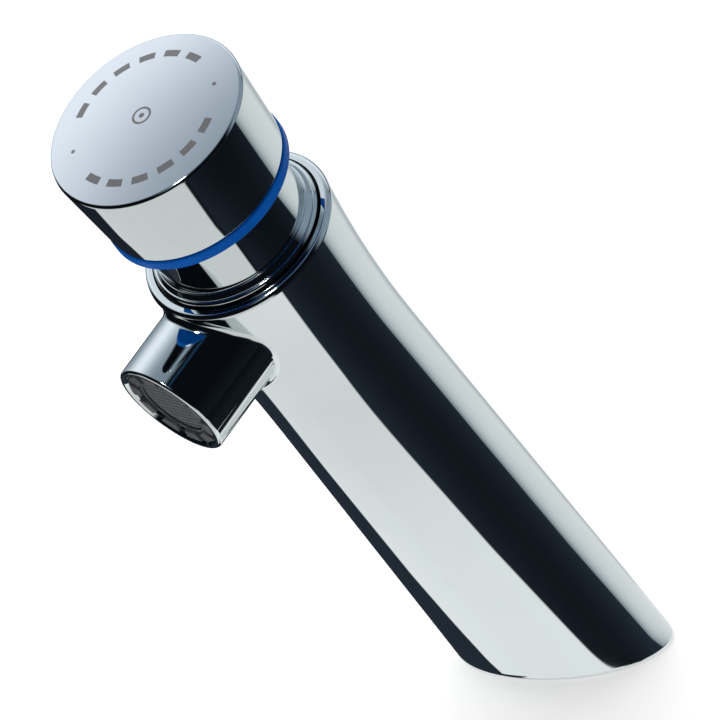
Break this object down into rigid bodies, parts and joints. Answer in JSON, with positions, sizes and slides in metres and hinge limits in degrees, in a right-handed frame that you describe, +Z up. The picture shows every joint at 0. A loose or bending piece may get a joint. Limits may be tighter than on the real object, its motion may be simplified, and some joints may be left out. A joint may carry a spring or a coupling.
{
  "type": "timed push tap",
  "caption": "Self-closing basin tap: a leaning chromed body with a short spout and aerator, and a sprung push button with a blue ring on a bright neck.",
  "frame": {"origin": "middle of the base on the deck, where the body's axis meets it: the mouth of the supply port", "axes": "+Z up out of the deck; the body leans and the spout points towards -Y, the user's side; +X to the right of someone who looks along +Y"},
  "size_m": [0.05, 0.186, 0.1796],
  "materials": {
    "chrome_plate": "polished plate on brass",
    "blue_plastic": "moulded, glossy",
    "grey_plastic": "moulded, satin",
    "white_plastic": "moulded, satin",
    "black_rubber": "matt",
    "stainless": "bright",
    "brass": "turned"
  },
  "bodies": {
    "tap_body": {"body": "chrome_plate", "inlet_block": "brass", "base_gasket": "black_rubber", "inlet_strainer": "stainless", "head": "chrome_plate", "trim_ring": "chrome_plate", "head_seal": "black_rubber", "cartridge_tube": "brass", "nose_seal": "black_rubber", "timing_jet": "stainless", "seal_retainer": "brass", "stem_seal": "black_rubber", "guide_bush": "white_plastic", "aerator_seal": "black_rubber", "flow_regulator": "white_plastic", "aerator_core": "white_plastic", "aerator_screen": "stainless", "aerator_ring": "grey_plastic", "return_spring": "stainless"},
    "spring_seat": {"thrust_washer": "stainless"},
    "push_button": {"button": "chrome_plate", "colour_ring": "blue_plastic", "lock_nut": "stainless", "stem": "brass", "piston": "white_plastic", "piston_seal": "black_rubber", "piston_clip": "stainless", "valve_washer": "black_rubber", "valve_holder": "brass", "valve_nut": "stainless"}
  },
  "joints": [
    {"name": "button_press", "type": "slide", "parent": "tap_body", "child": "spring_seat", "axis": [0, 0.6428, -0.766], "range_m": [0, 0.007], "stiffness_N_per_m": 2300, "springref_m": -0.006, "deforming": ["return_spring"]},
    {"name": "button_turn", "type": "hinge", "parent": "spring_seat", "child": "push_button", "pos_m": [0, -0.13756, 0.16393], "axis": [0, -0.6428, 0.766], "continuous": true}
  ]
}
